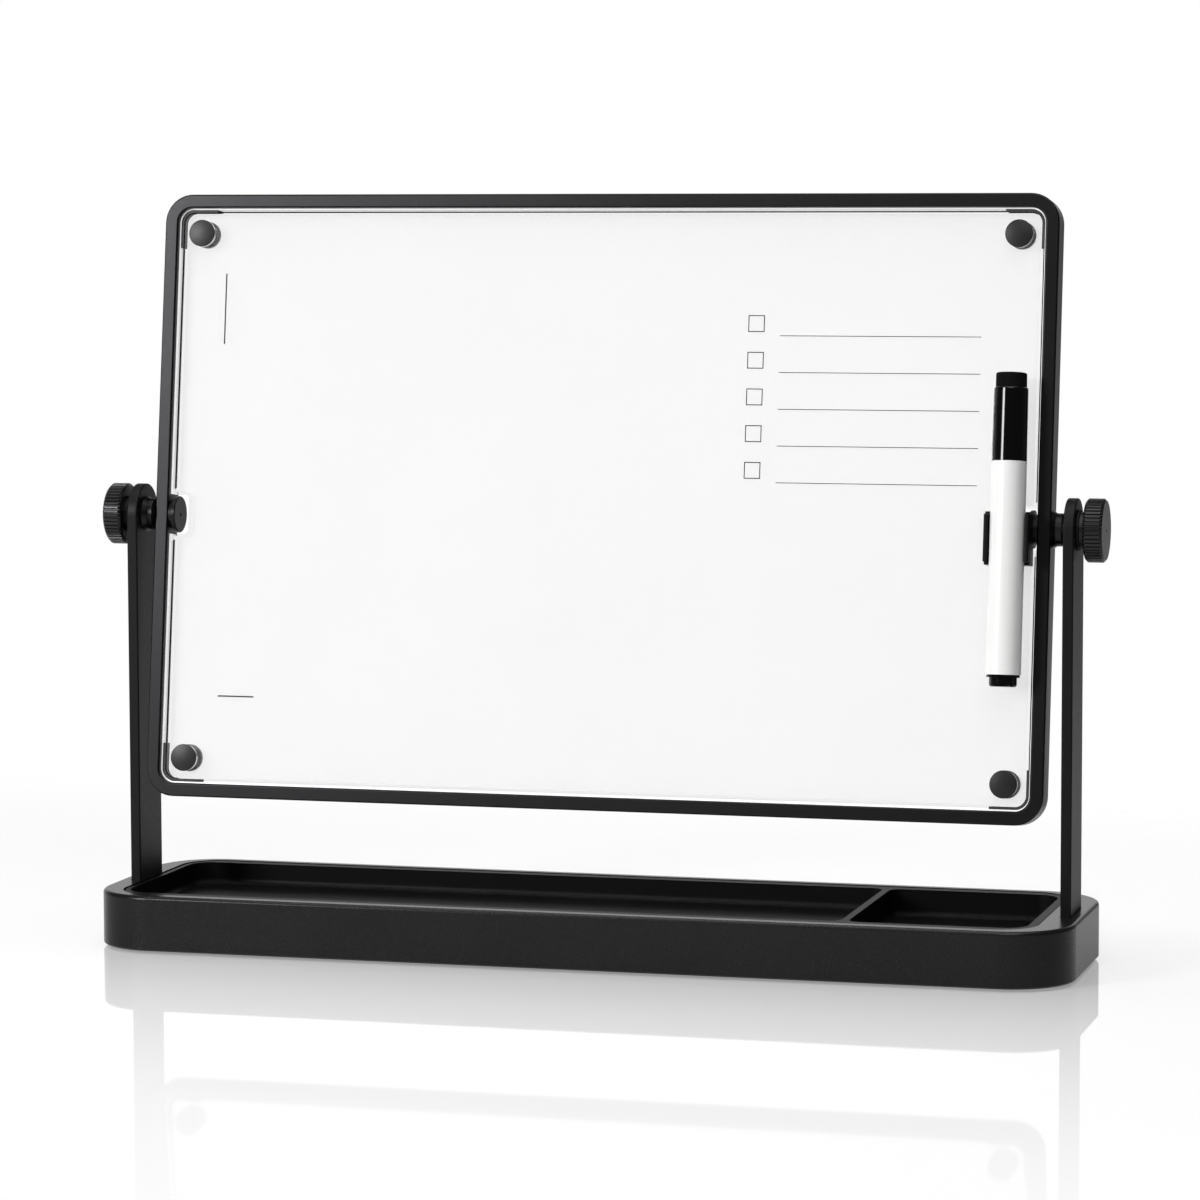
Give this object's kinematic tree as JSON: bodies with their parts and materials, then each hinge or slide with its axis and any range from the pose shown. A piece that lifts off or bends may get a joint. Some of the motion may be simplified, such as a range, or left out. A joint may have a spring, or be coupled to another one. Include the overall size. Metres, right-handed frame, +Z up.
{
  "type": "memo board",
  "caption": "Clear memo board that tilts in a dark frame between uprights on a weighted tray base, with clamp knobs, a clipped marker and memo magnets.",
  "frame": {"origin": "under the middle of the base, on the table the feet stand on", "axes": "+X along the board to the viewer's right, +Y to the back, +Z up"},
  "size_m": [0.4126, 0.106, 0.3049],
  "materials": {
    "black_satin_plastic": "satin moulded black",
    "coated_plate": "black powder coat",
    "plated_screws": "zinc plated",
    "foot_rubber": "matt",
    "black_coated_steel": "fine black powder coat",
    "black_anodised_aluminium": "black satin anodised",
    "clear_acrylic": "polished, clear",
    "pad_rubber": "matt black",
    "clear_silicone": "translucent white",
    "black_bolt_steel": "black oxide",
    "black_nylon": "matt",
    "knob_aluminium": "black anodised, fluted",
    "insert_brass": "turned",
    "marker_white_plastic": "semi-gloss white",
    "marker_black_plastic": "gloss black",
    "marker_felt": "pressed felt",
    "holder_plastic": "semi-gloss",
    "core_fibre": "fibre",
    "clip_plastic": "semi-gloss black",
    "foam_tape": "foam",
    "magnet_cap_black": "satin black",
    "bright_nickel": "bright nickel plate",
    "keeper_steel": "black coated"
  },
  "bodies": {
    "base": {"base_shell": "black_satin_plastic", "tray_insert": "black_satin_plastic", "base_plate": "coated_plate", "plate_screws": "plated_screws", "upright_screws": "plated_screws", "rubber_feet": "foot_rubber", "upright_left": "black_coated_steel", "upright_right": "black_coated_steel"},
    "board": {"board_frame": "black_anodised_aluminium", "clear_pane": "clear_acrylic", "corner_pads": "pad_rubber", "edge_seals": "clear_silicone", "marker_clip": "clip_plastic", "clip_tape": "foam_tape", "rear_keepers": "keeper_steel", "pivot_bolt_left": "black_bolt_steel", "pivot_bolt_right": "black_bolt_steel", "pivot_bush_left": "black_anodised_aluminium", "pivot_bush_right": "black_anodised_aluminium"},
    "marker": {"marker_barrel": "marker_white_plastic", "marker_end_plug": "marker_black_plastic", "marker_nib_holder": "holder_plastic", "marker_nib": "marker_felt", "marker_ink_core": "core_fibre"},
    "marker_cap_body": {"marker_cap": "marker_black_plastic", "marker_eraser": "marker_felt"},
    "washer_left": {"friction_washer_left": "black_nylon"},
    "knob_body_left": {"knob_left": "knob_aluminium", "knob_insert_left": "insert_brass"},
    "washer_right": {"friction_washer_right": "black_nylon"},
    "knob_body_right": {"knob_right": "knob_aluminium", "knob_insert_right": "insert_brass"},
    "magnet_top_left": {"magnet_disc_top_left": "bright_nickel", "magnet_cap_top_left": "magnet_cap_black"},
    "magnet_top_right": {"magnet_disc_top_right": "bright_nickel", "magnet_cap_top_right": "magnet_cap_black"},
    "magnet_bottom_left": {"magnet_disc_bottom_left": "bright_nickel", "magnet_cap_bottom_left": "magnet_cap_black"},
    "magnet_bottom_right": {"magnet_disc_bottom_right": "bright_nickel", "magnet_cap_bottom_right": "magnet_cap_black"}
  },
  "joints": [
    {"name": "board_tilt", "type": "hinge", "parent": "base", "child": "board", "pos_m": [0, 0, 0.174], "axis": [1, 0, 0], "continuous": true},
    {"name": "washer_slide_left", "type": "slide", "parent": "base", "child": "washer_left", "axis": [-1, 0, 0], "range_m": [0, 0.0016]},
    {"name": "knob_turn_left", "type": "hinge", "parent": "washer_left", "child": "knob_body_left", "pos_m": [-0.2, 0, 0.174], "axis": [-1, 0, 0], "range_deg": [0, 540]},
    {"name": "washer_slide_right", "type": "slide", "parent": "base", "child": "washer_right", "axis": [1, 0, 0], "range_m": [0, 0.0016]},
    {"name": "knob_turn_right", "type": "hinge", "parent": "washer_right", "child": "knob_body_right", "pos_m": [0.2, 0, 0.174], "axis": [1, 0, 0], "range_deg": [0, 540]},
    {"name": "marker_pull", "type": "slide", "parent": "board", "child": "marker", "axis": [0, -0.9914, 0.1305], "range_m": [0, 0.06]},
    {"name": "cap_pull", "type": "slide", "parent": "marker", "child": "marker_cap_body", "axis": [0, 0.1305, 0.9914], "range_m": [0, 0.04]},
    {"name": "magnet_pull_top_left", "type": "slide", "parent": "board", "child": "magnet_top_left", "axis": [0, -0.9914, 0.1305], "range_m": [0, 0.03]},
    {"name": "magnet_pull_top_right", "type": "slide", "parent": "board", "child": "magnet_top_right", "axis": [0, -0.9914, 0.1305], "range_m": [0, 0.03]},
    {"name": "magnet_pull_bottom_left", "type": "slide", "parent": "board", "child": "magnet_bottom_left", "axis": [0, -0.9914, 0.1305], "range_m": [0, 0.03]},
    {"name": "magnet_pull_bottom_right", "type": "slide", "parent": "board", "child": "magnet_bottom_right", "axis": [0, -0.9914, 0.1305], "range_m": [0, 0.03]}
  ],
  "couplings": [
    {"joint": "washer_slide_left", "follows": "knob_turn_left", "m_per_rad": 0.00015915},
    {"joint": "washer_slide_right", "follows": "knob_turn_right", "m_per_rad": 0.00015915}
  ]
}
